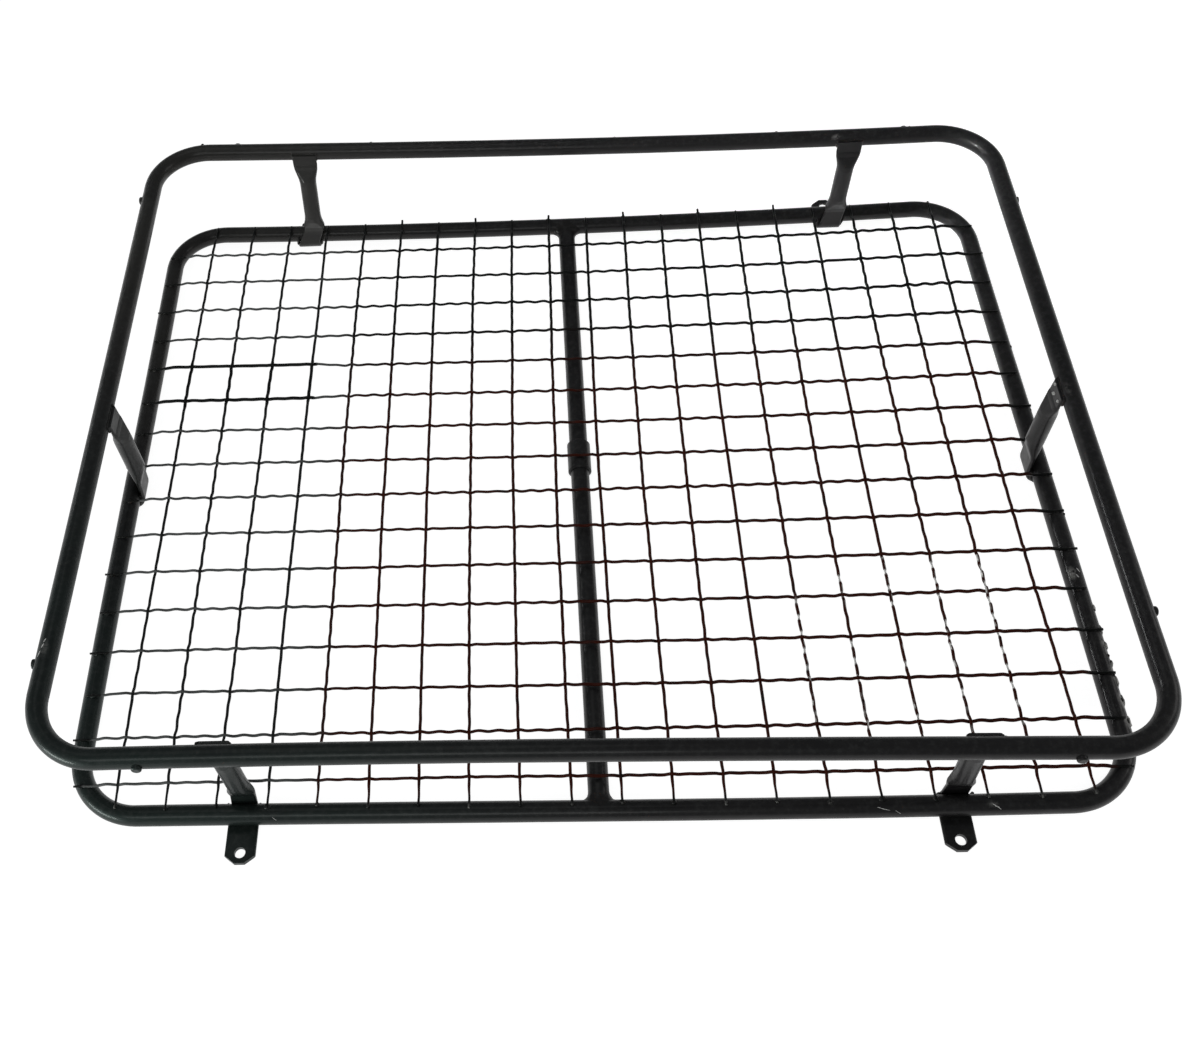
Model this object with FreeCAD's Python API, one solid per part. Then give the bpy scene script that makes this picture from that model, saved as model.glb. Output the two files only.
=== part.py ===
import FreeCAD
import Part
import math
import os

V = FreeCAD.Vector

# Bent tube loops: centre-line plan, tube size and the height between the two loops
loop_length = 1050.0
loop_depth = 834.0
corner_radius = 65.0
rail_diameter = 21.3
rail_rise = 134.0

# Posts: round tube with both ends pressed flat
post_diameter = 20.7
post_seam_flat = 0.6
flat_width = 31.0
flat_thickness = 5.0
corner_post_inset = 175.0
side_post_y = -8.0
top_lap = 5.0
top_flat_length = 16.0
top_taper_length = 28.0
foot_flat_height = 18.0
foot_taper_length = 26.0
taper_steps = 4
side_foot_reach = 8.0

# Mounting tabs under the corner posts; the bolt stands off from the rail's centre line
bolt_offset = 31.0
bolt_hole_diameter = 11.0
tab_tip_margin = 10.5
tab_tip_width = 10.0
tab_chamfer = 8.0

# Cross tube in the middle of the floor, joined by a sleeve
cross_tube_diameter = 21.3
cross_tube_drop = 2.0
cross_tube_butt_gap = 0.3
sleeve_diameter = 27.0
sleeve_length = 48.0
sleeve_chamfer = 2.0
sleeve_y = 17.0
sleeve_clearance = 0.15

# Woven wire floor: as many wires as the loop takes, laid off its middle towards the front
wire_diameter = 3.5
wire_pitch = 50.0
wire_margin_x = 45.0
wire_margin_y = 40.0
mesh_shift_y = -10.0
weave_bite = 0.1
wire_overhang = 4.0
spike_overhang = 11.0

# Rope pegs on the outside of the upper loop
peg_diameter = 10.0
peg_reach = 3.0
peg_dome = 2.0
front_peg_inset = 100.0
left_peg_inset = 89.0
right_peg_inset = 129.0

# Gap left at every welded seat
seat_gap = 0.1

# Heights and reaches that follow from the sizes above
rail_radius = rail_diameter / 2
seat_radius = rail_radius + seat_gap
lower_rail_z = flat_thickness + seat_radius
upper_rail_z = lower_rail_z + rail_rise
half_length = loop_length / 2
half_depth = loop_depth / 2
corner_post_x = half_length - corner_post_inset
front_peg_x = half_length - front_peg_inset
left_peg_y = half_depth - left_peg_inset
right_peg_y = half_depth - right_peg_inset
long_wire_count = int((loop_length - 2 * wire_margin_x) / wire_pitch) + 1
cross_wire_count = int((loop_depth - 2 * wire_margin_y) / wire_pitch) + 1
tab_reach = bolt_offset + tab_tip_margin
weave_height = wire_diameter / 2 - weave_bite
mesh_z = lower_rail_z + seat_radius + weave_height + wire_diameter / 2
cross_tube_z = lower_rail_z - cross_tube_drop


def save(name, shape):
    shape.exportStep("parts/" + name + ".step")


def fused(shapes):
    return shapes[0].fuse(shapes[1:]).removeSplitter()


def turned(shape, degrees, x, y):
    copy = shape.copy()
    copy.rotate(V(0, 0, 0), V(0, 0, 1), degrees)
    copy.translate(V(x, y, 0))
    return copy


def rail_loop(height):
    straight_x = half_length - corner_radius
    straight_y = half_depth - corner_radius
    pieces = []
    for side in (-1, 1):
        along_x = V(-straight_x, side * half_depth, height)
        along_y = V(side * half_length, -straight_y, height)
        pieces.append(Part.makeCylinder(rail_radius, 2 * straight_x, along_x, V(1, 0, 0)))
        pieces.append(Part.makeCylinder(rail_radius, 2 * straight_y, along_y, V(0, 1, 0)))
    for quarter, (sx, sy) in enumerate(((1, 1), (-1, 1), (-1, -1), (1, -1))):
        bend = Part.makeTorus(corner_radius, rail_radius, V(0, 0, 0), V(0, 0, 1), 0, 360, 90)
        bend = turned(bend, 90 * quarter, sx * straight_x, sy * straight_y)
        bend.translate(V(0, 0, height))
        pieces.append(bend)
    return fused(pieces)


def slot_wire(width, thickness, centre, across, through):
    # Flat-sided outline with two round ends, as a tube takes when it is pressed
    r = thickness / 2
    flat = width / 2 - r
    corners = [(-flat, -r), (flat, -r), (flat, r), (-flat, r)]
    a, b, c, d = [centre + across * u + through * v for u, v in corners]
    right = centre + across * (width / 2)
    left = centre - across * (width / 2)
    edges = [
        Part.LineSegment(a, b).toShape(),
        Part.Arc(b, right, c).toShape(),
        Part.LineSegment(c, d).toShape(),
        Part.Arc(d, left, a).toShape(),
    ]
    return Part.Wire(edges)


def post(foot_reach, bolted):
    # Local frame: the rails run along X at Y = 0, outward is +Y
    plate_y = -(seat_radius + flat_thickness / 2)
    bend_radius = -plate_y
    across = V(1, 0, 0)
    tube_width = post_diameter + post_seam_flat
    foot_top = lower_rail_z + foot_flat_height
    tube_low = foot_top + foot_taper_length
    post_top = upper_rail_z + top_lap
    plate_low = post_top - top_flat_length
    tube_high = plate_low - top_taper_length

    def section(width, thickness, z):
        return slot_wire(width, thickness, V(0, plate_y, z), across, V(0, 1, 0))

    def taper(z_flat, z_tube):
        rings = []
        for step in range(taper_steps + 1):
            share = step / taper_steps
            ease = (1 - math.cos(math.pi * share)) / 2
            width = flat_width + (tube_width - flat_width) * ease
            thickness = flat_thickness + (post_diameter - flat_thickness) * ease
            rings.append(section(width, thickness, z_flat + (z_tube - z_flat) * share))
        return Part.makeLoft(rings, True, True)

    def straight(width, thickness, z_from, z_to):
        face = Part.Face(section(width, thickness, z_from))
        return face.extrude(V(0, 0, z_to - z_from))

    start = V(0, plate_y, foot_top)
    bend_start = V(0, plate_y, lower_rail_z)
    bend_mid = V(0, plate_y * math.sqrt(0.5), lower_rail_z - bend_radius * math.sqrt(0.5))
    bend_end = V(0, 0, lower_rail_z - bend_radius)
    tip = V(0, foot_reach, lower_rail_z - bend_radius)
    path = Part.Wire([
        Part.LineSegment(start, bend_start).toShape(),
        Part.Arc(bend_start, bend_mid, bend_end).toShape(),
        Part.LineSegment(bend_end, tip).toShape(),
    ])
    foot = path.makePipe(Part.Face(section(flat_width, flat_thickness, foot_top)))
    pieces = [
        foot,
        taper(foot_top, tube_low),
        straight(tube_width, post_diameter, tube_low, tube_high),
        taper(plate_low, tube_high),
        straight(flat_width, flat_thickness, plate_low, post_top),
    ]
    shape = fused(pieces)
    if bolted:
        hole = Part.makeCylinder(bolt_hole_diameter / 2, lower_rail_z, V(0, bolt_offset, 0))
        shape = shape.cut([hole] + [tip_cut(side, foot_reach) for side in (-1, 1)])
    return shape


def tip_cut(side, foot_reach):
    # Corner taken off the end of a tab
    outline = [
        V(side * tab_tip_width / 2, foot_reach, 0),
        V(side * flat_width, foot_reach, 0),
        V(side * flat_width, foot_reach - tab_chamfer, 0),
        V(side * flat_width / 2, foot_reach - tab_chamfer, 0),
        V(side * tab_tip_width / 2, foot_reach, 0),
    ]
    return Part.Face(Part.makePolygon(outline)).extrude(V(0, 0, lower_rail_z))


def cross_tube(y_from, y_to):
    r = cross_tube_diameter / 2
    tube = Part.makeCylinder(r, y_to - y_from, V(0, y_from, cross_tube_z), V(0, 1, 0))
    copes = []
    for side in (-1, 1):
        start = V(-cross_tube_diameter, side * half_depth, lower_rail_z)
        copes.append(Part.makeCylinder(seat_radius, 2 * cross_tube_diameter, start, V(1, 0, 0)))
    solids = tube.cut(copes).Solids
    return max(solids, key=lambda solid: solid.Volume)


def sleeve():
    start = V(0, sleeve_y - sleeve_length / 2, cross_tube_z)
    ring = Part.makeCylinder(sleeve_diameter / 2, sleeve_length, start, V(0, 1, 0))
    rims = [edge for edge in ring.Edges if isinstance(edge.Curve, Part.Circle)]
    ring = ring.makeChamfer(sleeve_chamfer, rims)
    bore_radius = cross_tube_diameter / 2 + sleeve_clearance
    bore = Part.makeCylinder(bore_radius, sleeve_length, start, V(0, 1, 0))
    return ring.cut(bore)


def rope_peg():
    # Short round stud with a domed end, coped to sit on the rail; outward is +Y
    radius = peg_diameter / 2
    centre = V(0, 0, upper_rail_z)
    stud = Part.makeCylinder(radius, rail_radius + peg_reach, centre, V(0, 1, 0))
    rims = [edge for edge in stud.Edges if abs(edge.CenterOfMass.y - rail_radius - peg_reach) < seat_gap]
    stud = stud.makeFillet(peg_dome, rims)
    seat = Part.makeCylinder(seat_radius, 2 * peg_diameter, centre - V(peg_diameter, 0, 0), V(1, 0, 0))
    return stud.cut(seat)


def rail_reach(offset, half_span, half_other):
    # Distance to the loop's centre line along a wire at this offset from the middle
    into_corner = abs(offset) - (half_other - corner_radius)
    if into_corner <= 0:
        return half_span
    return half_span - corner_radius + math.sqrt(corner_radius ** 2 - into_corner ** 2)


def woven_wire(crossings, first_up, low_end, high_end, high_overhang):
    # Zigzag outline in the plane of distance and height, over and under by turns
    path = [(low_end - wire_overhang, -weave_height), (low_end, -weave_height)]
    for index, place in enumerate(crossings):
        up = 1 if (index + first_up) % 2 == 0 else -1
        path.append((place, up * weave_height))
    path += [(high_end, -weave_height), (high_end + high_overhang, -weave_height)]
    top = [(s, z + wire_diameter / 2) for s, z in path]
    bottom = [(s, z - wire_diameter / 2) for s, z in reversed(path)]
    return top + bottom + top[:1]


def wire_mesh():
    xs = [(i - (long_wire_count - 1) / 2) * wire_pitch for i in range(long_wire_count)]
    ys = [mesh_shift_y + (j - (cross_wire_count - 1) / 2) * wire_pitch for j in range(cross_wire_count)]
    half_wire = wire_diameter / 2
    wires = []
    for i, x in enumerate(xs):
        reach = rail_reach(x, half_depth, half_length)
        # Every other wire sticks out past the back rail
        back_overhang = spike_overhang if i % 2 else wire_overhang
        outline = woven_wire(ys, i, -reach, reach, back_overhang)
        points = [V(x - half_wire, s, mesh_z + z) for s, z in outline]
        wires.append(Part.Face(Part.makePolygon(points)).extrude(V(wire_diameter, 0, 0)))
    for j, y in enumerate(ys):
        reach = rail_reach(y, half_length, half_depth)
        outline = woven_wire(xs, j + 1, -reach, reach, wire_overhang)
        points = [V(s, y - half_wire, mesh_z + z) for s, z in outline]
        wires.append(Part.Face(Part.makePolygon(points)).extrude(V(0, wire_diameter, 0)))
    return wires[0].fuse(wires[1:])


os.makedirs("parts", exist_ok=True)

save("upper_rail", rail_loop(upper_rail_z))
save("lower_rail", rail_loop(lower_rail_z))

corner_post = post(tab_reach, True)
for end, sy, turn in (("front", -1, 180), ("back", 1, 0)):
    for side, sx in (("left", -1), ("right", 1)):
        placed = turned(corner_post, turn, sx * corner_post_x, sy * half_depth)
        save("post_" + end + "_" + side, placed)

side_post = post(side_foot_reach, False)
for side, sx, turn in (("left", -1, 90), ("right", 1, -90)):
    save("post_" + side + "_side", turned(side_post, turn, sx * half_length, side_post_y))

save("cross_tube_front", cross_tube(-half_depth, sleeve_y - cross_tube_butt_gap / 2))
save("cross_tube_back", cross_tube(sleeve_y + cross_tube_butt_gap / 2, half_depth))
save("cross_tube_sleeve", sleeve())

peg = rope_peg()
for end, sy, turn in (("front", -1, 180), ("back", 1, 0)):
    for side, sx in (("left", -1), ("right", 1)):
        save("peg_" + end + "_" + side, turned(peg, turn, sx * front_peg_x, sy * half_depth))
for side, sx, turn, peg_y in (("left", -1, 90, left_peg_y), ("right", 1, -90, right_peg_y)):
    for end, sy in (("front", -1), ("back", 1)):
        save("peg_" + side + "_" + end, turned(peg, turn, sx * half_length, sy * peg_y))

save("wire_mesh_floor", wire_mesh())
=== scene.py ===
import math
import random

import bpy
import numpy as np
from mathutils import Euler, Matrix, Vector, noise


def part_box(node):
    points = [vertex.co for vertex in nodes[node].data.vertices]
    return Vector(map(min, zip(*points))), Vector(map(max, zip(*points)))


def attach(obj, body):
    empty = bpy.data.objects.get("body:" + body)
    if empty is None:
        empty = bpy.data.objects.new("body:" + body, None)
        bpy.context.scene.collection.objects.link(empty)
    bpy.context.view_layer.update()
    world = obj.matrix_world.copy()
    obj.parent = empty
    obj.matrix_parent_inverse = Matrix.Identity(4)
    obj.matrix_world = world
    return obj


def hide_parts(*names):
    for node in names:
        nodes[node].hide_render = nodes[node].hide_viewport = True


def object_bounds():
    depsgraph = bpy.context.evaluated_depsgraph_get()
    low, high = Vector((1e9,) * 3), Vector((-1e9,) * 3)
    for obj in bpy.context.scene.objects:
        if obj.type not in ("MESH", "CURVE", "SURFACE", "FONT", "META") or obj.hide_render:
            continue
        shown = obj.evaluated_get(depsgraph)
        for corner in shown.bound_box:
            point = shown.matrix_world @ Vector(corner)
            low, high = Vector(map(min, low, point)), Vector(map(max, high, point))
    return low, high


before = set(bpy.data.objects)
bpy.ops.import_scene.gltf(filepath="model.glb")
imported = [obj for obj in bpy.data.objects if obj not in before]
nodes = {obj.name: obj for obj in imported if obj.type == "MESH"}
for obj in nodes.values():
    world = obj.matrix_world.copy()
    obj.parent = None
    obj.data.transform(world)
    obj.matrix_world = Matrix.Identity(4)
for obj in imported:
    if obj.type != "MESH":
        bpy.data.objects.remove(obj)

cad_low, cad_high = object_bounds()
rng = random.Random(29)
mm = 0.001

# Sizes taken from the frame
lower_low, lower_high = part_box("lower_rail")
upper_low, upper_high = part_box("upper_rail")
mesh_low, mesh_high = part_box("wire_mesh_floor")
post_low, post_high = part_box("post_front_right")
side_low, side_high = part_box("post_left_side")
rail_r = (lower_high.z - lower_low.z) / 2
lower_z = (lower_high.z + lower_low.z) / 2
upper_z = (upper_high.z + upper_low.z) / 2
half_x = lower_high.x - rail_r
half_y = lower_high.y - rail_r
mesh_z = (mesh_high.z + mesh_low.z) / 2
post_x = (post_low.x + post_high.x) / 2
side_y = (side_low.y + side_high.y) / 2

# Sizes of the looks
corner_r = 65 * mm
post_round = 20.7 * mm
post_flat = 31 * mm
half_flat = post_flat / 2
wire_r = 1.75 * mm
wire_pitch = 50 * mm
long_wire_count = 20
cross_wire_count = 16
mesh_shift_y = -10 * mm
crimp_length = 20 * mm
crimp_height = mesh_high.z - mesh_z - wire_r
wire_step = 2.5 * mm
wire_sides = 8
clear_of_rail = 14 * mm
rail_sides = 30
rail_step = 3.5 * mm
bend_step = 2.5 * mm
dent_depth = 0.12 * mm
bend_flattening = 0.04
flat_end = 19 * mm
flat_ramp = 12 * mm
crossing_half = 4 * mm
slack_ramp = 6 * mm
thin_end = 16 * mm
thin_ramp = 8 * mm
bead_step = 0.9 * mm
bead_sides = 10
bead_ripple = 3.2 * mm
bead_wobble = 0.5 * mm


def clamped(value):
    return min(1.0, max(0.0, value))


def make_object(name, verts, faces, material):
    mesh = bpy.data.meshes.new(name)
    mesh.from_pydata([tuple(v) for v in verts], [], faces)
    mesh.update()
    mesh.shade_smooth()
    piece = bpy.data.objects.new(name, mesh)
    bpy.context.scene.collection.objects.link(piece)
    mesh.materials.append(material)
    return piece


def point_values(piece, name, values):
    layer = piece.data.attributes.new(name, "FLOAT", "POINT")
    layer.data.foreach_set("value", np.asarray(values, np.float32))


def ring_sweep(points, radii, sides, closed, up):
    """Vertices and faces of a tube along points; radii holds (side, up) for each point."""
    p = np.asarray(points, float)
    n = len(p)
    if closed:
        tangent = np.roll(p, -1, 0) - np.roll(p, 1, 0)
    else:
        tangent = np.gradient(p, axis=0)
    tangent /= np.linalg.norm(tangent, axis=1)[:, None]
    side = np.cross(tangent, np.asarray(up, float))
    side /= np.linalg.norm(side, axis=1)[:, None]
    top = np.cross(side, tangent)
    angles = np.arange(sides) * 2 * math.pi / sides
    r = np.asarray(radii, float)
    wide = np.cos(angles)[None, :, None] * side[:, None, :] * r[:, 0][:, None, None]
    tall = np.sin(angles)[None, :, None] * top[:, None, :] * r[:, 1][:, None, None]
    verts = (p[:, None, :] + wide + tall).reshape(-1, 3)
    faces = []
    for i in range(n if closed else n - 1):
        a, b = i * sides, ((i + 1) % n) * sides
        for k in range(sides):
            m = (k + 1) % sides
            faces.append((a + k, a + m, b + m, b + k))
    if not closed:
        faces.append(tuple(range(sides))[::-1])
        faces.append(tuple((n - 1) * sides + k for k in range(sides)))
    return verts, faces


def joined(parts):
    verts, faces, start = [], [], 0
    for v, f in parts:
        verts.append(v)
        faces += [tuple(k + start for k in face) for face in f]
        start += len(v)
    return np.concatenate(verts), faces


# Node helpers
def node(tree, kind, inputs=None, **settings):
    made = tree.nodes.new(kind)
    for key, value in settings.items():
        setattr(made, key, value)
    for key, value in (inputs or {}).items():
        if isinstance(value, bpy.types.NodeSocket):
            tree.links.new(value, made.inputs[key])
        else:
            made.inputs[key].default_value = value
    return made


def new_material(name):
    material = bpy.data.materials.new(name)
    material.use_nodes = True
    material.node_tree.nodes.clear()
    return material, material.node_tree


def noise_at(tree, vector, scale, detail=4.0, rough=0.55):
    made = node(
        tree, "ShaderNodeTexNoise",
        {"Vector": vector, "Scale": scale, "Detail": detail, "Roughness": rough},
    )
    return made.outputs["Fac"]


def span(tree, value, low, high, to_low=0.0, to_high=1.0):
    made = node(
        tree, "ShaderNodeMapRange",
        {0: value, 1: low, 2: high, 3: to_low, 4: to_high},
        interpolation_type="SMOOTHSTEP", clamp=True,
    )
    return made.outputs[0]


def times(tree, a, b):
    return node(tree, "ShaderNodeMath", {0: a, 1: b}, operation="MULTIPLY").outputs[0]


def mixed(tree, share, a, b):
    made = node(tree, "ShaderNodeMix", {0: share, 6: a, 7: b}, data_type="RGBA")
    return made.outputs[2]


def attribute(tree, name):
    return node(tree, "ShaderNodeAttribute", attribute_name=name).outputs["Fac"]


# Colours of the frame's paint: with a painted green cast of light at the front left, plain elsewhere, and
# where it is paler, bare or dirty
painted_green_cast_black = (0.0105, 0.0150, 0.0138, 1)
warm_black = (0.0110, 0.0104, 0.0108, 1)
weld_painted_green_cast_black = (0.0080, 0.0095, 0.0090, 1)
weld_warm_black = (0.0095, 0.0085, 0.0080, 1)
# Painted reflection tints: green where the green cast of light is painted at the front left, faintly warm
# elsewhere
painted_green_reflection = (0.78, 1.0, 0.95, 1)
painted_warm_reflection = (1.0, 0.97, 0.98, 1)
paler_black = (0.030, 0.029, 0.026, 1)
deep_black = (0.0065, 0.0065, 0.0070, 1)
dust_grey = (0.050, 0.051, 0.050, 1)
rust_brown = (0.060, 0.026, 0.012, 1)
worn_steel = (0.46, 0.45, 0.43, 1)
dull_steel = (0.50, 0.49, 0.47, 1)
clean_steel = (0.88, 0.87, 0.85, 1)

# Colours of the wires
wire_black = (0.0052, 0.0058, 0.0056, 1)
# Painted reddish reflection of the floor on the wires
wire_painted_red_reflection = (0.0430, 0.0060, 0.0018, 1)
wire_grey = (0.105, 0.108, 0.108, 1)
wire_fleck = (0.034, 0.018, 0.012, 1)
# Painted white glint on the crimps
wire_painted_glint = (0.95, 0.93, 0.90, 1)

# Places between which the paint takes a painted green cast of light and where it turns paler, along x and
# along y
green_cast_along_x = (100 * mm, -420 * mm)
green_cast_along_y = (120 * mm, -340 * mm)
paler_along_x = (-50 * mm, -450 * mm)
paler_along_y = (-100 * mm, 250 * mm)

# Where the painted reddish reflection of the floor on the wires comes and goes: axis, from, to, share
# before, share after
red_reflection_fades = (
    (0, -310 * mm, -260 * mm, 0.0, 1.0),
    (0, 498 * mm, 512 * mm, 1.0, 0.0),
    (1, -412 * mm, -398 * mm, 0.0, 1.0),
    (1, 80 * mm, 240 * mm, 1.0, 0.0),
)


def paint(name, left, right, rough_low, rough_high, grain, rust_edge):
    """Satin black: a painted green cast of light at the front left, in its colour and its reflections; paler
    at the back left, dust on top, rust specks, bare metal where worn.
    """
    material, tree = new_material(name)
    place = node(tree, "ShaderNodeTexCoord").outputs["Object"]
    axes = node(tree, "ShaderNodeSeparateXYZ", {0: place}).outputs
    facing = node(tree, "ShaderNodeNewGeometry").outputs["Normal"]
    facing_up = node(tree, "ShaderNodeSeparateXYZ", {0: facing}).outputs[2]
    broad = noise_at(tree, place, scale=9.0, detail=5.0)
    cloudy = noise_at(tree, place, scale=60.0, detail=6.0, rough=0.7)
    bumpy = noise_at(tree, place, scale=75.0, detail=3.0)
    fine = noise_at(tree, place, scale=170.0, detail=5.0, rough=0.65)
    speck = noise_at(tree, place, scale=420.0, detail=3.0, rough=0.6)
    # Painted green cast of light at the front left: it tints the base colour and the reflections' tint
    green_cast = times(tree, span(tree, axes[0], *green_cast_along_x), span(tree, axes[1], *green_cast_along_y))
    tone = mixed(tree, green_cast, right, left)
    # Paler towards the back left, in patches
    paler = times(tree, span(tree, axes[0], *paler_along_x), span(tree, axes[1], *paler_along_y))
    paler = times(tree, paler, span(tree, broad, 0.25, 0.6, 0.55, 1.0))
    tone = mixed(tree, paler, tone, paler_black)
    dark = mixed(tree, span(tree, broad, 0.40, 0.75, 0.0, 0.8), tone, deep_black)
    dust = times(tree, span(tree, facing_up, 0.1, 0.95), span(tree, fine, 0.42, 0.74, 0.0, 0.34))
    dusty = mixed(tree, dust, dark, dust_grey)
    rust = times(tree, span(tree, speck, rust_edge, rust_edge + 0.06), span(tree, broad, 0.45, 0.62))
    rusty = mixed(tree, rust, dusty, rust_brown)
    worn = times(tree, attribute(tree, "wear"), span(tree, fine, 0.36, 0.52))
    colour = mixed(tree, worn, rusty, worn_steel)
    painted_reflection_tint = mixed(tree, green_cast, painted_warm_reflection, painted_green_reflection)
    rough = span(tree, cloudy, 0.3, 0.7, rough_low, rough_high)
    lumps = node(tree, "ShaderNodeBump", {"Strength": 0.22, "Distance": 1.2 * mm, "Height": bumpy})
    skin = node(
        tree, "ShaderNodeBump",
        {"Strength": grain, "Distance": 0.4 * mm, "Height": fine, "Normal": lumps.outputs[0]},
    )
    shader = node(
        tree, "ShaderNodeBsdfPrincipled",
        {
            "Base Color": colour, "Roughness": rough, "Metallic": times(tree, worn, 0.55),
            "Specular Tint": painted_reflection_tint, "Specular IOR Level": 0.20, "Normal": skin.outputs[0],
            "Coat Weight": 0.18, "Coat Roughness": 0.16,
        },
    )
    node(tree, "ShaderNodeOutputMaterial", {0: shader.outputs[0]})
    return material


def wire_finish():
    """Thin black paint over wire: a painted reddish reflection of the floor from the middle to the right,
    greyer towards the left, painted white glints on crimps.
    """
    material, tree = new_material("wire_paint_worn")
    place = node(tree, "ShaderNodeTexCoord").outputs["Object"]
    axes = node(tree, "ShaderNodeSeparateXYZ", {0: place}).outputs
    broad = noise_at(tree, place, scale=5.0)
    patch = noise_at(tree, place, scale=38.0, detail=5.0, rough=0.65)
    fine = noise_at(tree, place, scale=320.0, rough=0.6)
    # Painted reddish reflection of the floor, from the middle to the right and off the rails
    red_reflection = span(tree, patch, 0.24, 0.50)
    for axis, start, end, before, after in red_reflection_fades:
        red_reflection = times(tree, red_reflection, span(tree, axes[axis], start, end, before, after))
    base = mixed(tree, red_reflection, wire_black, wire_painted_red_reflection)
    pale = times(tree, attribute(tree, "pale"), span(tree, broad, 0.25, 0.6, 0.6, 1.0))
    pale = times(tree, pale, span(tree, patch, 0.25, 0.5, 0.55, 1.0))
    grey = mixed(tree, pale, base, wire_grey)
    flecks = mixed(tree, span(tree, fine, 0.62, 0.74, 0.0, 0.4), grey, wire_fleck)
    bare = times(tree, attribute(tree, "tip"), span(tree, fine, 0.40, 0.56))
    colour = mixed(tree, bare, flecks, dull_steel)
    # Painted white glints on the crimps
    colour = mixed(tree, attribute(tree, "glint"), colour, wire_painted_glint)
    rough = span(tree, patch, 0.3, 0.7, 0.28, 0.52)
    skin = node(tree, "ShaderNodeBump", {"Strength": 0.4, "Distance": 0.3 * mm, "Height": fine})
    shader = node(
        tree, "ShaderNodeBsdfPrincipled",
        {
            "Base Color": colour, "Roughness": rough, "Metallic": times(tree, bare, 0.8),
            "Specular IOR Level": 0.12, "Normal": skin.outputs[0],
        },
    )
    node(tree, "ShaderNodeOutputMaterial", {0: shader.outputs[0]})
    return material


def bare_finish():
    """Bare steel in chips and scratches, dulled in places."""
    material, tree = new_material("bare_steel_marks")
    place = node(tree, "ShaderNodeTexCoord").outputs["Object"]
    fine = noise_at(tree, place, scale=500.0, rough=0.6)
    colour = mixed(tree, span(tree, fine, 0.35, 0.65), dull_steel, clean_steel)
    rough = span(tree, fine, 0.3, 0.7, 0.32, 0.55)
    skin = node(tree, "ShaderNodeBump", {"Strength": 0.4, "Distance": 0.2 * mm, "Height": fine})
    shader = node(
        tree, "ShaderNodeBsdfPrincipled",
        {"Base Color": colour, "Roughness": rough, "Metallic": 0.15, "Normal": skin.outputs[0]},
    )
    node(tree, "ShaderNodeOutputMaterial", {0: shader.outputs[0]})
    return material


# The front left colour carries the painted green cast of light
frame_paint = paint(
    "frame_paint_satin", painted_green_cast_black, warm_black,
    rough_low=0.38, rough_high=0.52, grain=0.30, rust_edge=0.68,
)
weld_paint = paint(
    "weld_paint_rough", weld_painted_green_cast_black, weld_warm_black,
    rough_low=0.44, rough_high=0.66, grain=0.85, rust_edge=0.60,
)
wire_paint = wire_finish()
bare_metal = bare_finish()


# How far each rail lies from the plain rectangle, in millimetres: cubic along the rail from -1 to 1
lower_bow = {
    "left": (0.14, -1.87, 0.60, -1.94),
    "right": (0.84, -1.60, 0.08, 2.11),
    "back": (-1.99, 1.09, 10.38, -0.65),
    "front": (0.82, -4.56, 1.92, 2.57),
}
upper_bow = {
    "left": (0.09, 0.57, -0.94, 0.21),
    "right": (-0.17, 3.74, 0.72, -1.37),
    "back": (2.94, -9.38, 8.67, 2.02),
    "front": (4.01, -6.03, -4.04, 1.86),
}
# The upper loop also sits low, in millimetres: in the middle, more towards the right, less towards the back
upper_drop = (-3.4, -2.0, 1.0)
back_left_lean = 13.0 * mm
back_right_lean = 4.5 * mm
left_side_lean = -11.0 * mm
cross_tube_skew = 2.1 * mm
sleeve_slide = 4 * mm
sleeve_share = 0.88

# Heights between which the lower loop's bow and the posts' own leans take hold
foot_heights = (4 * mm, 26 * mm)
back_left_heights = (4 * mm, 42 * mm)
back_right_heights = (5 * mm, 32 * mm)
left_side_heights = (10 * mm, upper_z)

# A corner post's foot narrows from its flat to its round tube between these heights, as drawn and as found
drawn_taper = (18 * mm, 44 * mm)
found_taper = (8 * mm, 27 * mm)

# A post's flat top is thinner and lower than drawn
top_heights = (upper_z - 16 * mm, upper_z - 4 * mm)
top_thinning = 0.45
rim_heights = (upper_z - 2 * mm, upper_z + 5 * mm)
rim_drop = 2.2 * mm

# The back right tab: where it leaves the post, over what length it thins, by how much, and its slope
tab_start = half_y + 12 * mm
tab_ramp = 10 * mm
tab_thinning = 0.28
tab_slope = math.tan(math.radians(6))


def bow_shift(p, bow):
    u = np.clip(p[:, 0] / half_x, -1, 1)
    v = np.clip(p[:, 1] / half_y, -1, 1)
    at = {side: np.polyval(bow[side][::-1], v if side in ("left", "right") else u) for side in bow}
    shift = np.zeros_like(p)
    shift[:, 0] = ((1 - u) * at["left"] + (1 + u) * at["right"]) / 2
    shift[:, 1] = ((1 - v) * at["front"] + (1 + v) * at["back"]) / 2
    return shift * mm, u, v


# Drift of the woven mesh, in millimetres: terms of u and v up to the third power
drift_powers = ((0, 0), (1, 0), (0, 1), (2, 0), (1, 1), (0, 2), (3, 0), (2, 1), (1, 2), (0, 3))
drift_x = (-1.80, -4.37, -0.98, 2.25, -0.22, 3.22, 6.55, 1.27, 2.31, 0.42)
drift_y = (-1.68, -1.82, -2.86, 4.79, 1.98, 1.11, 2.36, 4.60, 1.55, 3.05)


def mesh_drift(p):
    u, v = p[:, 0] / half_x, p[:, 1] / half_y
    terms = np.stack([u ** i * v ** j for i, j in drift_powers], 1)
    shift = np.zeros_like(p)
    shift[:, 0] = terms @ np.array(drift_x)
    shift[:, 1] = terms @ np.array(drift_y)
    return shift * mm


def end_slack(x, y):
    """How far a wire's end has to run further than the mesh drifts to lie on the bowed rail."""
    p = np.array([(x, y, 0.0)])
    return (bow_shift(p, lower_bow)[0] - mesh_drift(p))[0]


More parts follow.
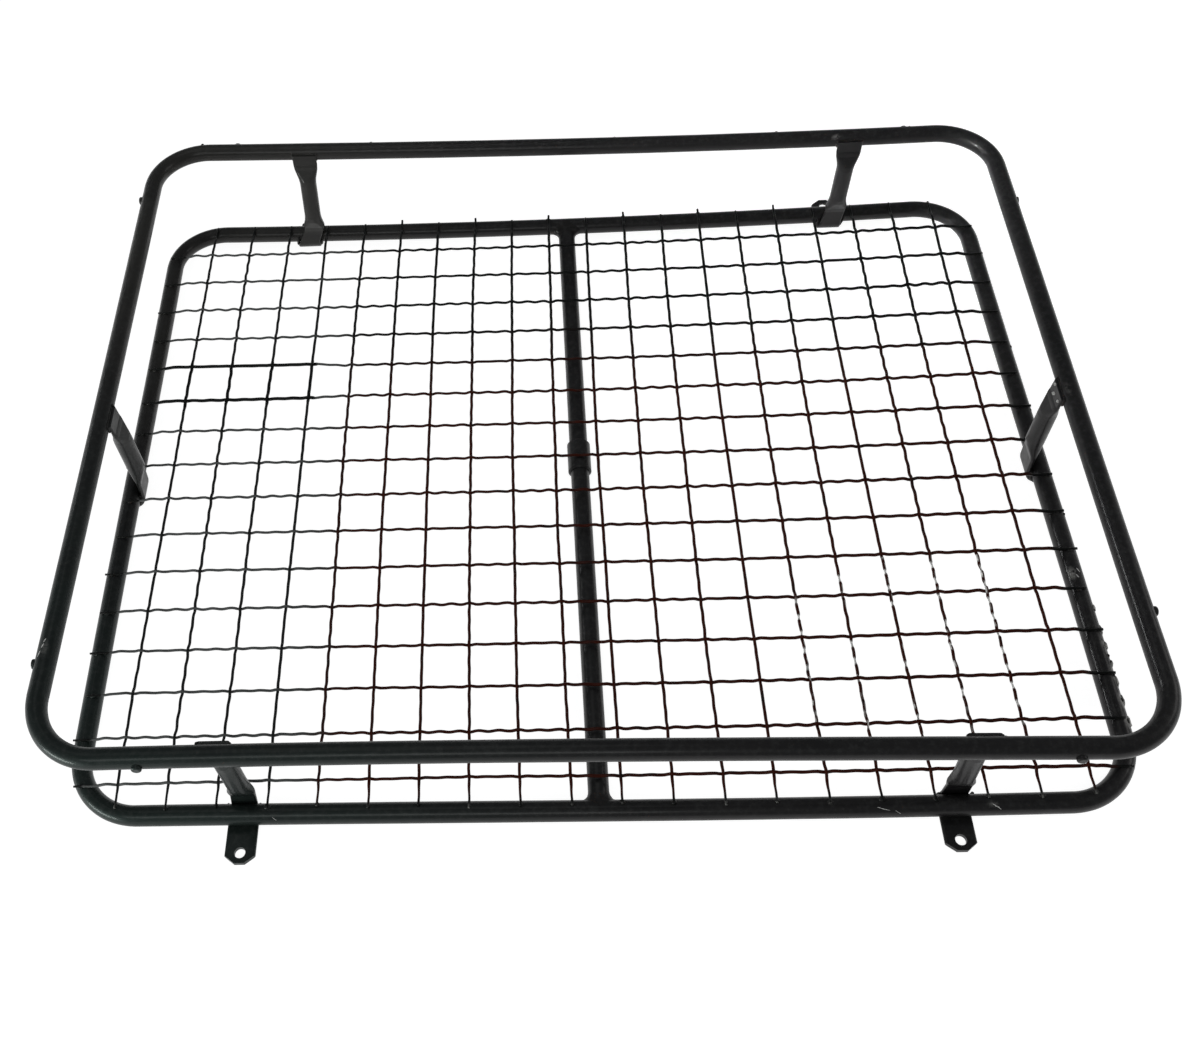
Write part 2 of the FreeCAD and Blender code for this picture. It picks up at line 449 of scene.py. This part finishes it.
def height_share(p, low, high):
    t = np.clip((p[:, 2] - low) / (high - low), 0, 1)
    return t * t * (3 - 2 * t)


def settle(points):
    """Moves points of the lower loop and its cross tube to where they lie in this basket."""
    p = np.array(points, float)
    return p + bow_shift(p, lower_bow)[0]


def lean(points):
    """Moves points from the lower loop up to the upper one to where they lie in this basket."""
    p = np.array(points, float)
    share = height_share(p, lower_z, upper_z)[:, None]
    low = bow_shift(p, lower_bow)[0]
    high, u, v = bow_shift(p, upper_bow)
    high[:, 2] = (upper_drop[0] + upper_drop[1] * u + upper_drop[2] * v) * mm
    foot = height_share(p, *foot_heights)[:, None]
    moved = p + low * foot * (1 - share) + high * share
    moved[:, 0] = np.clip(moved[:, 0], cad_low.x, cad_high.x)
    moved[:, 1] = np.clip(moved[:, 1], cad_low.y, cad_high.y)
    return moved


def lean_back_left(points):
    """The back left post stands nearer the middle; only its bolted foot keeps its place."""
    moved = lean(points)
    moved[:, 0] += back_left_lean * height_share(np.asarray(points), *back_left_heights)
    return moved


def lean_back_right(points):
    """The back right post stands a little further out; its tab is thinner and turned up a little."""
    p = np.array(points, float)
    out = np.clip((p[:, 1] - tab_start) / tab_ramp, 0, 1)
    p[:, 2] *= 1 - tab_thinning * out
    p[:, 2] += out * tab_slope * (p[:, 1] - tab_start)
    moved = lean(p)
    moved[:, 0] += back_right_lean * height_share(np.asarray(points), *back_right_heights)
    return moved


def lean_left_side(points):
    """The left side post's top stands nearer the front."""
    moved = lean(points)
    moved[:, 1] += left_side_lean * height_share(np.asarray(points), *left_side_heights)
    return moved


def pressed(points, x, y):
    """Thins and lowers the flattened top of a post that stands at x, y."""
    p = np.array(points, float)
    axis = 1 if abs(abs(y) - half_y) < mm else 0
    rail = (x, y)[axis]
    inward = -math.copysign(1.0, rail)
    depth = (p[:, axis] - rail) * inward
    top = height_share(p, *top_heights)
    p[:, axis] -= inward * top_thinning * top * np.maximum(depth - rail_r, 0)
    p[:, 2] -= rim_drop * height_share(p, *rim_heights)
    return p


def slim_foot(points, x):
    """Narrows a corner post's foot at x: it widens to its tab only beside the rail."""
    p = np.array(points, float)
    widths = (post_flat, post_round)
    drawn = np.interp(p[:, 2], drawn_taper, widths)
    found = np.interp(p[:, 2], found_taper, widths)
    p[:, 0] = x + (p[:, 0] - x) * found / drawn
    return p


def nudged(x, y):
    return lambda points: lean(np.asarray(points) + np.array((x, y, 0)) * mm)


# Pegs that stand off their drawn place in this basket, in millimetres
own_moves = {
    "peg_front_left": nudged(7, 0),
    "peg_front_right": nudged(5, 0),
    "peg_left_front": nudged(0, 10),
    "peg_right_front": nudged(0, 9),
}


def skew(points):
    """Moves points of the cross tube, whose front end lies a little to the right."""
    moved = settle(points)
    moved[:, 0] += cross_tube_skew * np.clip(0.5 - 0.5 * moved[:, 1] / half_y, 0, 1)
    return moved


def slid_sleeve(points):
    """The sleeve sits a little further back than drawn, its ends dressed down."""
    p = np.array(points, float)
    middle = (p[:, 1].min() + p[:, 1].max()) / 2
    p[:, 1] = middle + sleeve_slide + sleeve_share * (p[:, 1] - middle)
    return skew(p)


def own_piece(piece, slot_name, *replaced):
    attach(piece, "root")
    if replaced:
        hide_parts(*replaced)
    return piece


# Bent tube loops
def loop_points(height):
    sx, sy = half_x - corner_r, half_y - corner_r
    points, bend = [], []

    def line(a, b):
        count = max(2, int((b - a).length / rail_step))
        for k in range(count):
            points.append(a.lerp(b, k / count))
            bend.append(0.0)

    def arc(cx, cy, start):
        count = int(corner_r * math.pi / 2 / bend_step)
        for k in range(count):
            t = k / count
            a = start + t * math.pi / 2
            points.append(Vector((cx + corner_r * math.cos(a), cy + corner_r * math.sin(a), height)))
            bend.append(math.sin(math.pi * t) ** 0.5 if t > 0 else 0.0)

    line(Vector((-sx, -half_y, height)), Vector((sx, -half_y, height)))
    arc(sx, -sy, -math.pi / 2)
    line(Vector((half_x, -sy, height)), Vector((half_x, sy, height)))
    arc(sx, sy, 0)
    line(Vector((sx, half_y, height)), Vector((-sx, half_y, height)))
    arc(-sx, sy, math.pi / 2)
    line(Vector((-half_x, sy, height)), Vector((-half_x, -sy, height)))
    arc(-sx, -sy, math.pi)
    return np.array([tuple(p) for p in points]), bend


def build_rail(node_name, height, move, wear_spots):
    points, bend = loop_points(height)
    radii = []
    for p, b in zip(points, bend):
        dent = dent_depth * (1 + noise.noise(Vector(p) * 14))
        flat = bend_flattening * b
        radii.append((rail_r * (1 - flat) - dent, rail_r - dent))
    verts, faces = ring_sweep(move(points), radii, rail_sides, True, (0, 0, 1))
    piece = make_object(node_name + "_look", verts, faces, frame_paint)
    wear = np.zeros(len(verts))
    for spot, reach, amount in wear_spots:
        away = np.linalg.norm((verts - np.array(spot) * mm) / (np.array(reach) * mm), axis=1)
        wear = np.maximum(wear, amount * np.clip(1.6 - 1.6 * away, 0, 1))
    point_values(piece, "wear", wear)
    return own_piece(piece, "frame_paint", node_name)


# Worn places on the rails, in millimetres: middle, reach, strength
lower_scuffs = [
    ((533, -250, 22), (5, 14, 7), 0.55),
    ((533, -284, 22), (5, 12, 7), 0.6),
    ((533, -313, 22), (5, 12, 7), 0.65),
    ((532, -337, 22), (6, 10, 7), 0.55),
    ((521, -163, 26), (7, 9, 5), 0.5),
    ((381, -421, 25), (5, 3, 4), 0.3),
]
upper_scuffs = [
    ((-527, -300, 158), (5, 9, 5), 0.25),
    ((339, 409, 156), (6, 5, 5), 0.5),
    ((516, -12, 157), (7, 16, 6), 0.35),
]
build_rail("upper_rail", upper_z, lean, upper_scuffs)
build_rail("lower_rail", lower_z, settle, lower_scuffs)


# Posts, pegs, cross tube: the solids themselves, set as they stand in this basket
def stand_in(name, move):
    mesh = nodes[name].data.copy()
    mesh.name = name + "_look"
    mesh.transform(nodes[name].matrix_world)
    flat = np.empty(len(mesh.vertices) * 3)
    mesh.vertices.foreach_get("co", flat)
    mesh.vertices.foreach_set("co", move(flat.reshape(-1, 3)).ravel())
    mesh.materials.clear()
    mesh.materials.append(frame_paint)
    mesh.update()
    piece = bpy.data.objects.new(mesh.name, mesh)
    bpy.context.scene.collection.objects.link(piece)
    return own_piece(piece, "frame_paint", name)


def build_post(name, x, y, move):
    def shape(points):
        p = pressed(points, x, y)
        if abs(x) < half_x:
            p = slim_foot(p, x)
        return move(p)

    return stand_in(name, shape)


# Each post's place, its turn from a post on the back rail, and its move
stands = [
    ("post_front_left", -post_x, -half_y, math.pi, lean),
    ("post_front_right", post_x, -half_y, math.pi, lean),
    ("post_back_left", -post_x, half_y, 0.0, lean_back_left),
    ("post_back_right", post_x, half_y, 0.0, lean_back_right),
    ("post_left_side", -half_x, side_y, math.pi / 2, lean_left_side),
    ("post_right_side", half_x, side_y, -math.pi / 2, lean),
]
for name, x, y, _, move in stands:
    build_post(name, x, y, move)
for name in sorted(nodes):
    if name.startswith("peg_"):
        stand_in(name, own_moves.get(name, lean))
stand_in("cross_tube_front", skew)
stand_in("cross_tube_back", skew)
stand_in("cross_tube_sleeve", slid_sleeve)


# Woven, crimped wire floor
# At the left one patch between two cross wires keeps thick black paint, and those wires are pushed aside
black_patch_y = 140 * mm
black_patch_half = 34 * mm
black_patch_end = -318 * mm
push_back = 3.2 * mm
push_front = -1.8 * mm
push_start = -285 * mm
push_ramp = 35 * mm
# Left of here the wires turn grey
grey_start = -260 * mm
grey_ramp = 50 * mm
# The part of the floor whose long wires get painted white glints on their crimps, most of all at its right
# end
glint_x = (200 * mm, 460 * mm)
glint_y = (-350 * mm, -140 * mm)
glint_most_x = 400 * mm
# How far wire ends run past the rail's centre line, in millimetres, and how bare their tips are
spike_reach = (9.0, 10.8)
back_reach = (1.5, 3.6)
front_reach = (-3.0, 2.0)
left_reach = (4.5, 9.0)
right_reach = (2.5, 9.0)
bare_tips = (0.0, 0.1, 0.3)


def rail_reach(offset, half_span, half_other):
    into_corner = abs(offset) - (half_other - corner_r)
    if into_corner <= 0:
        return half_span
    return half_span - corner_r + math.sqrt(corner_r ** 2 - into_corner ** 2)


def drift(key, s, size):
    slow = noise.noise(Vector((key * 7.3, s * 6.0, key * 1.7)))
    quick = noise.noise(Vector((key * 3.1, s * 26.0, 4.0)))
    return size * (slow + 0.4 * quick)


def kept_black(points):
    """Whether points lie in the patch that keeps thick black paint."""
    p = np.atleast_2d(points)
    across = np.abs(p[:, 1] - black_patch_y) < black_patch_half
    return across & (p[:, 0] < black_patch_end) & (p[:, 0] > -half_x + clear_of_rail)


def wire_path(key, place, first, sign, low, high, along_y):
    """One crimped wire from low to high; the crimp flattens where the wire lies on the rails."""
    count = int((high - low) / wire_step)
    rest_z = lower_z + rail_r + 0.3 * wire_r
    at_patch = not along_y and abs(place - black_patch_y) < black_patch_half
    points = []
    for k in range(count + 1):
        s = low + (high - low) * k / count
        inner = min(s - low, high - s)
        ease = clamped((inner - flat_end) / flat_ramp)
        turn = 2 * math.pi * (s - first) / crimp_length + 0.5 * noise.noise(Vector((key, s * 9.0, 8.0)))
        between = abs((s - first) / wire_pitch - round((s - first) / wire_pitch)) * wire_pitch
        slack = clamped((between - crossing_half) / slack_ramp)
        size = crimp_height * (1 - slack * (0.62 + 0.45 * noise.noise(Vector((s * 17.0, key * 2.3, 1.0)))))
        aside = 0.0
        if at_patch:
            push = push_back if place > black_patch_y else push_front
            aside = push * clamped((push_start - s) / push_ramp)
            if kept_black((s, place, 0))[0]:
                size *= 0.35
        z = ease * (mesh_z + sign * size * math.cos(turn)) + (1 - ease) * rest_z
        sway = aside + drift(key, s, 0.9 * mm) + 0.15 * mm * math.sin(turn + key)
        points.append((place + sway, s, z) if along_y else (s, place + sway, z))
    p = np.array(points)
    return p + mesh_drift(p)


def pale_at(verts, share):
    """How grey the wires turn: towards the left, but not in the patch kept black."""
    left = np.clip((grey_start - verts[:, 0]) / grey_ramp, 0, 1)
    left *= np.abs(verts[:, 0]) < half_x - clear_of_rail
    left *= np.abs(verts[:, 1]) < half_y - clear_of_rail
    return share * np.where(kept_black(verts), 0.0, left)


def painted_glint_at(verts):
    """Painted white glints on the crimps of the long wires towards the front right."""
    found = np.zeros(len(verts))
    x, y = verts[:, 0], verts[:, 1]
    near = (x > glint_x[0]) & (x < glint_x[1]) & (y > glint_y[0]) & (y < glint_y[1])
    for k in np.flatnonzero(near):
        wire = round(x[k] / wire_pitch)
        pulse = math.cos(2 * math.pi * (y[k] + 13 * mm * wire) / crimp_length)
        patch = noise.noise(Vector((wire * 3.3, y[k] * 21.0, 5.0))) + (0.22 if x[k] > glint_most_x else 0.0)
        found[k] = clamped(5 * (pulse - 0.45)) * clamped(5 * (patch + 0.16))
    return found


def long_width(u, v):
    return 1.03 + 0.05 * u + 0.06 * v - 0.07 * v**2


def cross_width(u, v):
    return 0.965 + 0.14 * u - 0.03 * v


def build_wires(name, wires, width, black_swell, pale_share, painted_glints):
    """Wires in one direction; width gives their thickness over the floor as a share of the drawn one."""
    parts, tips = [], []
    for line, bare_low, bare_high in wires:
        uneven = np.array([noise.noise(Vector(p) * 90) for p in line])
        thick = wire_r * (width(line[:, 0] / half_x, line[:, 1] / half_y) + 0.06 * uneven)
        # Wires are narrowed where the painted glints are, so these read as bright gaps
        if painted_glints:
            thick *= 1 - 0.42 * painted_glint_at(line)
        thick *= np.where(kept_black(line), black_swell, 1.0)
        from_low = np.linalg.norm(line - line[0], axis=1)
        from_high = np.linalg.norm(line - line[-1], axis=1)
        inner = np.minimum(from_low, from_high)
        thick *= 0.8 + 0.2 * np.clip((inner - thin_end) / thin_ramp, 0, 1)
        parts.append(ring_sweep(line, [(t, t) for t in thick], wire_sides, False, (0, 0, 1)))
        low_tip = bare_low * np.clip(1 - from_low / (6 * mm), 0, 1)
        high_tip = bare_high * np.clip(1 - from_high / (5 * mm), 0, 1)
        tips.append(np.repeat(low_tip + high_tip, wire_sides))
    verts, faces = joined(parts)
    piece = make_object(name, verts, faces, wire_paint)
    point_values(piece, "tip", np.concatenate(tips))
    point_values(piece, "pale", pale_at(verts, pale_share))
    point_values(piece, "glint", painted_glint_at(verts) if painted_glints else np.zeros(len(verts)))
    return own_piece(piece, "wire_paint", "wire_mesh_floor")


xs = [(i - (long_wire_count - 1) / 2) * wire_pitch for i in range(long_wire_count)]
ys = [mesh_shift_y + (j - (cross_wire_count - 1) / 2) * wire_pitch for j in range(cross_wire_count)]
long_wires, cross_wires, wire_ends = [], [], []
for i, x in enumerate(xs):
    reach = rail_reach(x, half_y, half_x)
    spiked = i % 2 and 4 < i < 16
    back = rng.uniform(*(spike_reach if spiked else back_reach)) * mm
    front = rng.uniform(*front_reach) * mm
    sign = 1 if i % 2 == 0 else -1
    low = -reach - front + end_slack(x, -reach)[1]
    high = reach + back + end_slack(x, reach)[1]
    path = wire_path(i + 1, x, ys[0], sign, low, high, True)
    long_wires.append((path, rng.choice(bare_tips), 0.1))
    wire_ends += [path[1][:2], path[-4 if spiked else -2][:2]]
for j, y in enumerate(ys):
    reach = rail_reach(y, half_x, half_y)
    left = rng.uniform(*left_reach) * mm
    right = rng.uniform(*right_reach) * mm
    sign = -1 if j % 2 == 0 else 1
    low = -reach - left + end_slack(-reach, y)[0]
    high = reach + right + end_slack(reach, y)[0]
    path = wire_path(j + 51, y, xs[0], sign, low, high, False)
    cross_wires.append((path, 0.05, rng.choice(bare_tips)))
    wire_ends += [path[3][:2], path[-4][:2]]
build_wires("mesh_long_wires", long_wires, long_width, black_swell=1.18, pale_share=0.12, painted_glints=True)
build_wires("mesh_cross_wires", cross_wires, cross_width, black_swell=1.38, pale_share=1.0, painted_glints=False)


# Welds
def wobble(x, y, z):
    """Three noise values for one place, as a shift."""
    return np.array([noise.noise(Vector((x + 0.37 + 9.3 * k, y, z + 0.21))) for k in range(3)])


def bead(points, radius, key, sag=0.8):
    """Rippled weld bead along a line of points, thinner at its ends."""
    line = np.asarray(points, float)
    gaps = np.linalg.norm(np.diff(line, axis=0), axis=1)
    at = np.concatenate([[0], np.cumsum(gaps)])
    count = max(8, int(at[-1] / bead_step))
    s = np.linspace(0, at[-1], count)
    fine = np.stack([np.interp(s, at, line[:, k]) for k in range(3)], 1)
    radii = []
    for k in range(count):
        share = k / (count - 1)
        end = min(1.0, 0.35 + 4 * min(share, 1 - share))
        wave = 0.14 * math.sin(2 * math.pi * s[k] / bead_ripple + key)
        uneven = 0.45 * noise.noise(Vector((key * 5.1, s[k] * 160, 2.0)))
        size = radius * end * (1 + wave + uneven)
        fine[k] += wobble(key, s[k] * 120, 6.0) * bead_wobble
        radii.append((size, sag * size))
    span_axes = np.abs(line[-1] - line[0])
    up = np.eye(3)[int(np.argmin(span_axes))]
    return ring_sweep(fine, radii, bead_sides, False, up)


def blob(centre, size, key):
    """Uneven lump of weld; size holds its half lengths."""
    verts, faces, rings, sides = [], [], 7, 10
    for a in range(rings + 1):
        polar = math.pi * a / rings
        for b in range(sides):
            turn = 2 * math.pi * b / sides
            out = math.sin(polar)
            d = Vector((out * math.cos(turn), out * math.sin(turn), math.cos(polar)))
            swell = 1 + 0.35 * noise.noise(d * 1.7 + Vector((key * 3.7, key, 0)))
            verts.append([centre[k] + d[k] * size[k] * swell for k in range(3)])
    for a in range(rings):
        for b in range(sides):
            c = (b + 1) % sides
            faces.append((a * sides + b, (a + 1) * sides + b, (a + 1) * sides + c, a * sides + c))
    return np.array(verts), faces


def placed(points, x, y, turn):
    c, s = math.cos(turn), math.sin(turn)
    return np.array([(x + c * px - s * py, y + s * px + c * py, pz) for px, py, pz in points])


def post_weld_lines(lap):
    """Weld lines of a post on the back rail and their radii: along its top, its flat's edges, its foot."""
    crown = upper_z + 3.4 * mm
    top = [(-half_flat - lap, -9.0 * mm, crown)]
    top += [(u * half_flat, -9.6 * mm, crown) for u in np.linspace(-1, 1, 12)]
    top += [(half_flat + 2 * mm, -9.0 * mm, crown)]
    lines = [(top, 1.5 * mm)]
    foot_r = 11.2 * mm
    foot_angles = np.linspace(math.radians(160), math.radians(265), 9)
    for side in (-1, 1):
        edge = [(side * half_flat, -10.6 * mm, upper_z + v * mm) for v in (5, 1, -3, -6)]
        foot_x = side * (half_flat + 0.6 * mm)
        foot = [(foot_x, foot_r * math.cos(a), lower_z + foot_r * math.sin(a)) for a in foot_angles]
        lines += [(edge, 1.7 * mm), (foot, 2.1 * mm)]
    return lines


post_welds = []
for key, (_, x, y, turn, move) in enumerate(stands):
    lap = rng.uniform(2, 7) * mm
    for n, (points, radius) in enumerate(post_weld_lines(lap)):
        verts, faces = bead(points, radius, key * 7 + n)
        post_welds.append((move(placed(verts, x, y, turn)), faces))
verts, faces = joined(post_welds)
own_piece(make_object("weld_beads_posts", verts, faces, weld_paint), "frame_paint")


def flare(y_sign, reach, key):
    """Weld fillet that spreads the cross tube's end over the rail."""
    tube_low, tube_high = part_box("cross_tube_front" if y_sign < 0 else "cross_tube_back")
    tube_r = (tube_high.x - tube_low.x) / 2
    tube_z = (tube_high.z + tube_low.z) / 2
    rings, sides = 10, 40
    verts, faces = [], []
    for a in range(rings + 1):
        d = reach * a / rings
        spread = reach - math.sqrt(max(reach ** 2 - (reach - d) ** 2, 0.0))
        for b in range(sides):
            turn = 2 * math.pi * b / sides
            lump = 1 + 0.22 * noise.noise(Vector((math.cos(turn) * 3, math.sin(turn) * 3, d * 300 + key)))
            wide = tube_r + 0.15 * mm + spread * lump * (0.25 + 0.75 * abs(math.cos(turn)))
            tall = tube_r + 0.15 * mm + 0.2 * spread * lump
            x, z = wide * math.cos(turn), tube_z + tall * math.sin(turn)
            rise = min(abs(z - lower_z), rail_r * 0.995)
            face = half_y - math.sqrt(rail_r ** 2 - rise ** 2)
            verts.append((x, y_sign * (face + 0.6 * mm - d * (0.9 + 0.1 * lump)), z))
    for a in range(rings):
        for b in range(sides):
            c = (b + 1) % sides
            quad = (a * sides + b, a * sides + c, (a + 1) * sides + c, (a + 1) * sides + b)
            faces.append(quad if y_sign > 0 else quad[::-1])
    return skew(verts), faces


verts, faces = joined([flare(-1, 9.5 * mm, 3), flare(1, 12 * mm, 9)])
own_piece(make_object("weld_fillets_cross_tube", verts, faces, weld_paint), "frame_paint")

# Lumps of weld along the outside of the lower side rails, in millimetres: place and half length
rail_tacks = (
    (-531, -281, 18, 2.6), (-530, -328, 17, 2.2), (-530, -305, 16, 1.6), (534, -205, 21, 2.0),
    (533, -232, 23, 3.0), (534, -262, 22, 2.4), (533, -284, 23, 3.2), (534, -312, 22, 2.8),
    (533, -336, 23, 3.0), (533, -134, 22, 2.2), (534, -84, 22, 1.8), (533, 66, 22, 2.0),
    (533, 166, 22, 2.2),
)
tacks = []
for key, (x, y) in enumerate(wire_ends):
    size = rng.uniform(1.8, 3.0) * mm
    shape = (size * rng.uniform(0.8, 1.3), size * rng.uniform(0.8, 1.3), 1.1 * mm)
    tacks.append(blob((x, y, lower_z + rail_r + 0.1 * mm), shape, key))
for key, (x, y, z, size) in enumerate(rail_tacks):
    tacks.append(blob((x * mm, y * mm, z * mm), (1.6 * mm, size * mm, 1.8 * mm), key + 200))
verts, faces = joined(tacks)
own_piece(make_object("weld_tacks_mesh", verts, faces, weld_paint), "frame_paint")


def rail_spot(centre, outward, angle, sunk, move):
    """Point a little under a rail's surface, at an angle in degrees from its top towards outward."""
    a = math.radians(angle)
    aside = math.sin(a) * np.array(outward) + math.cos(a) * np.array((0, 0, 1))
    return move([centre])[0] + (rail_r - sunk) * aside


# Chipped grey lumps on the outer shoulder of the right lower rail, in millimetres: place along it and size
chipped_lumps = ((-207, 2.4), (-233, 2.8), (-252, 2.6), (-272, 2.4), (-293, 3.2), (-314, 3.0), (-338, 3.2))
lumps = []
for key, (y, size) in enumerate(chipped_lumps):
    at = rail_spot((half_x, y * mm, lower_z), (1, 0, 0), 58 + 6 * (key % 2), 0.6 * mm, settle)
    lumps.append(blob(at, (2.0 * mm, 2.0 * size * mm, 2.6 * mm), key + 500))
verts, faces = joined(lumps)
piece = make_object("weld_lumps_right_rail", verts, faces, weld_paint)
point_values(piece, "wear", np.full(len(verts), 1.0))
own_piece(piece, "frame_paint")

# Drops of spatter on the outside of the upper back rail, in millimetres: place along it and half length
spatter_drops = ((-470, 1.7), (-251, 1.5), (264, 1.5), (60, 1.2), (431, 1.3))
spatter = []
for key, (x, size) in enumerate(spatter_drops):
    at = lean([(x * mm, half_y + 8.2 * mm, upper_z + 6.0 * mm)])[0]
    spatter.append(blob(at, (size * mm * 1.3, size * mm, size * mm), key + 300))
verts, faces = joined(spatter)
own_piece(make_object("weld_spatter_rail", verts, faces, weld_paint), "frame_paint")


# Bright marks where the paint is gone
def scratch(start, end, outward, angle, turn, width, move):
    """Sliver of bare metal between two places on a rail, turning about the tube on its way."""
    a = rail_spot(start, outward, angle, 0.12 * mm, move)
    b = rail_spot(end, outward, angle + turn, 0.12 * mm, move)
    shares = np.linspace(0, 1, 9)
    points = [a + (b - a) * t for t in shares]
    radii = [(width * math.sin(math.pi * (0.08 + 0.84 * t)), 0.16 * mm) for t in shares]
    return ring_sweep(points, radii, 8, False, (0, 0, 1))


# Scratches: place along the rail, angle from its top in degrees, length and width; the rest in millimetres
front_scratches = (
    (270, 25, 12, 0.5), (287, 44, 5, 0.4), (380, 20, 6, 0.7), (384, 32, 4, 0.5), (-321, 40, 4, 0.35),
)
upper_left_scratches = ((-296, 4, 4.0, 0.55), (-301, 10, 5.0, 0.55), (-309, 22, 6.0, 0.55))
lower_right_scratches = ((-160, 8, 5.0, 0.6), (-168, -6, 4.0, 0.6))
# Chips under the right side post's top, in millimetres: place and half width
post_chips = ((508, -4, 157, 1.3), (505, -14, 154, 1.5), (507, -24, 153, 1.2))
marks = []
for x, angle, size, width in front_scratches:
    start, end = (x * mm, -half_y, lower_z), ((x + size) * mm, -half_y, lower_z)
    marks.append(scratch(start, end, (0, -1, 0), angle, 18, width * mm, settle))
for y, angle, size, width in upper_left_scratches:
    start, end = (-half_x, y * mm, upper_z), (-half_x, (y - size) * mm, upper_z)
    marks.append(scratch(start, end, (-1, 0, 0), angle, 9, width * mm, lean))
for y, angle, size, width in lower_right_scratches:
    start, end = (half_x, y * mm, lower_z), (half_x, (y - size) * mm, lower_z)
    marks.append(scratch(start, end, (1, 0, 0), angle, 14, width * mm, settle))
for key, (x, y, z, size) in enumerate(post_chips):
    at = lean([(x * mm, y * mm, z * mm)])[0]
    marks.append(blob(at, (size * mm, size * 1.5 * mm, size * mm), key + 400))
verts, faces = joined(marks)
own_piece(make_object("bare_metal_marks", verts, faces, bare_metal), "frame_paint")


# Floor, world, lights and camera
def floor_material():
    """White to the camera and in reflections, with the object's shadow; a plain grey to other light."""
    material, tree = new_material("studio_floor")
    path = node(tree, "ShaderNodeLightPath").outputs
    seen = node(tree, "ShaderNodeEmission", {"Color": (1, 1, 1, 1), "Strength": 0.93})
    dull = node(tree, "ShaderNodeBsdfDiffuse", {"Color": (0.36, 0.36, 0.36, 1)})
    white = node(tree, "ShaderNodeAddShader", {0: seen.outputs[0], 1: dull.outputs[0]})
    plain = node(tree, "ShaderNodeBsdfDiffuse", {"Color": (0.20, 0.20, 0.20, 1)})
    shown = path["Is Camera Ray"]
    for ray in ("Is Glossy Ray", "Is Transmission Ray"):
        shown = node(tree, "ShaderNodeMath", {0: shown, 1: path[ray]}, operation="MAXIMUM").outputs[0]
    pick = node(tree, "ShaderNodeMixShader", {0: shown, 1: plain.outputs[0], 2: white.outputs[0]})
    node(tree, "ShaderNodeOutputMaterial", {0: pick.outputs[0]})
    return material


def build_world():
    """Dim, faintly blue room; the camera sees it white."""
    world = bpy.data.worlds.new("studio_world")
    bpy.context.scene.world = world
    world.use_nodes = True
    sky = world.node_tree
    sky.nodes.clear()
    path = node(sky, "ShaderNodeLightPath").outputs
    white = node(sky, "ShaderNodeBackground", {"Color": (1, 1, 1, 1), "Strength": 1.05})
    room = node(sky, "ShaderNodeBackground", {"Color": (0.93, 0.97, 1.0, 1), "Strength": 0.19})
    pick = node(
        sky, "ShaderNodeMixShader",
        {0: path["Is Camera Ray"], 1: room.outputs[0], 2: white.outputs[0]},
    )
    node(sky, "ShaderNodeOutputWorld", {0: pick.outputs[0]})


def area_light(name, place, aim, width, height, power, colour, spread=180):
    """Lamp of the given size in metres and power in watts; spread is in degrees."""
    data = bpy.data.lights.new(name, "AREA")
    data.shape = "RECTANGLE"
    data.size, data.size_y = width, height
    data.energy = power
    data.color = colour
    data.spread = math.radians(spread)
    lamp = bpy.data.objects.new(name, data)
    bpy.context.scene.collection.objects.link(lamp)
    lamp.location = place
    lamp.rotation_euler = (Vector(aim) - Vector(place)).to_track_quat("-Z", "Y").to_euler()


bpy.ops.mesh.primitive_plane_add(size=14, location=(0, 0, -0.5 * mm))
floor = bpy.context.object
floor.name = "studio_floor"
floor.data.materials.append(floor_material())
build_world()
area_light("light_front", (-0.7, -2.3, 2.1), (-0.15, 0, 0), 2.0, 0.8, 13.5, (0.98, 1.0, 0.98))
area_light("light_left_low", (-2.9, 1.2, 0.75), (0, -0.1, 0.1), 1.0, 0.9, 2.0, (0.96, 1.0, 0.99))
area_light("light_left_front", (-1.75, 0.0, 0.7), (0.47, 0.38, 0.10), 0.3, 0.3, 0.42, (0.97, 1.0, 1.0), 12)
area_light("light_right", (2.7, 0.4, 1.4), (0, 0, 0.1), 1.4, 1.0, 9, (1.0, 0.98, 0.96))
area_light("light_left_beam", (-1.7, 1.0, 0.78), (0.55, -0.25, 0.1), 0.5, 0.3, 0.13, (0.97, 0.99, 1.0), 22)
area_light("card_left_front", (-1.35, -1.05, 0.10), (-0.5, -0.42, 0.08), 0.7, 0.2, 8.5, (0.95, 1.0, 0.97))
area_light("light_top", (-0.8, 0.5, 3.2), (-0.2, 0.1, 0), 2.0, 2.0, 6, (1.0, 1.0, 0.98))

# Camera fitted to the wires and rails in the photo
camera_place = (-0.03952, -0.94363, 1.27278)
camera_turn = (37.0369, 2.8752, 0.0562)
camera_data = bpy.data.cameras.new("photo_camera")
camera = bpy.data.objects.new("photo_camera", camera_data)
bpy.context.scene.collection.objects.link(camera)
camera_data.sensor_width = 36.0
camera_data.lens = 40.3443
camera_data.shift_x = 0.09167
camera_data.shift_y = -0.04167
camera.location = camera_place
camera.rotation_euler = Euler([math.radians(a) for a in camera_turn], "XYZ")
bpy.context.scene.camera = camera
bpy.context.scene.view_settings.view_transform = "Standard"
